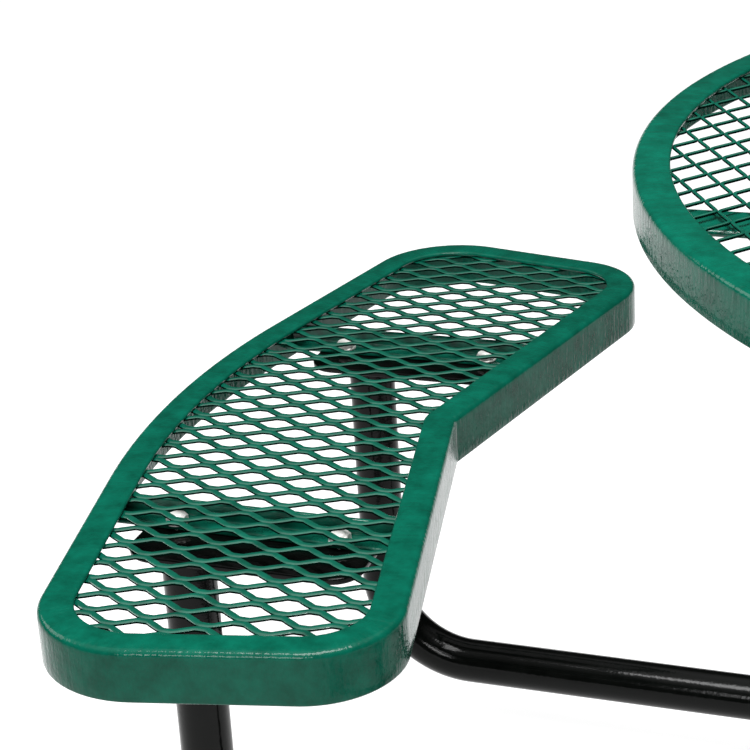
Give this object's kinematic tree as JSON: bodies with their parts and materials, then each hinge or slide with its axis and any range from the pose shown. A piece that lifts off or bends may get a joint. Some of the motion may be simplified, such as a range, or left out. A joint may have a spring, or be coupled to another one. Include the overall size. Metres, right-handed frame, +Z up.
{
  "type": "picnic table",
  "caption": "Round coated expanded-metal picnic table with attached boomerang seats on a crossed tube frame and an umbrella hole.",
  "frame": {"origin": "on the floor under the centre of the round table top", "axes": "+Z up; seats lie towards -X, -Y, +X and +Y, seat 1 towards -X"},
  "size_m": [2.0846, 2.0846, 0.748],
  "materials": {
    "green_coat": "glossy dip-coated thermoplastic with fine ripples",
    "black_coat": "glossy black powder coat",
    "bolt_steel": "bright zinc plate"
  },
  "bodies": {
    "root": {"leg_plate_1": "black_coat", "leg_plate_2": "black_coat", "leg_plate_3": "black_coat", "leg_plate_4": "black_coat", "lower_runner_a": "black_coat", "lower_runner_b": "black_coat", "seat_bolt_1a": "bolt_steel", "seat_bolt_1b": "bolt_steel", "seat_bolt_1c": "bolt_steel", "seat_bolt_1d": "bolt_steel", "seat_bolt_2a": "bolt_steel", "seat_bolt_2b": "bolt_steel", "seat_bolt_2c": "bolt_steel", "seat_bolt_2d": "bolt_steel", "seat_bolt_3a": "bolt_steel", "seat_bolt_3b": "bolt_steel", "seat_bolt_3c": "bolt_steel", "seat_bolt_3d": "bolt_steel", "seat_bolt_4a": "bolt_steel", "seat_bolt_4b": "bolt_steel", "seat_bolt_4c": "bolt_steel", "seat_bolt_4d": "bolt_steel", "seat_brace_1a": "green_coat", "seat_brace_1b": "green_coat", "seat_brace_2a": "green_coat", "seat_brace_2b": "green_coat", "seat_brace_3a": "green_coat", "seat_brace_3b": "green_coat", "seat_brace_4a": "green_coat", "seat_brace_4b": "green_coat", "seat_mesh_1": "green_coat", "seat_mesh_2": "green_coat", "seat_mesh_3": "green_coat", "seat_mesh_4": "green_coat", "seat_plate_1a": "black_coat", "seat_plate_1b": "black_coat", "seat_plate_2a": "black_coat", "seat_plate_2b": "black_coat", "seat_plate_3a": "black_coat", "seat_plate_3b": "black_coat", "seat_plate_4a": "black_coat", "seat_plate_4b": "black_coat", "seat_rim_1": "green_coat", "seat_rim_2": "green_coat", "seat_rim_3": "green_coat", "seat_rim_4": "green_coat", "table_brace_1": "green_coat", "table_brace_2": "green_coat", "table_leg_1": "black_coat", "table_leg_2": "black_coat", "table_leg_3": "black_coat", "table_leg_4": "black_coat", "table_mesh": "green_coat", "table_rim": "green_coat", "umbrella_collar": "green_coat", "upper_runner_a": "black_coat", "upper_runner_b": "black_coat"}
  },
  "joints": []
}
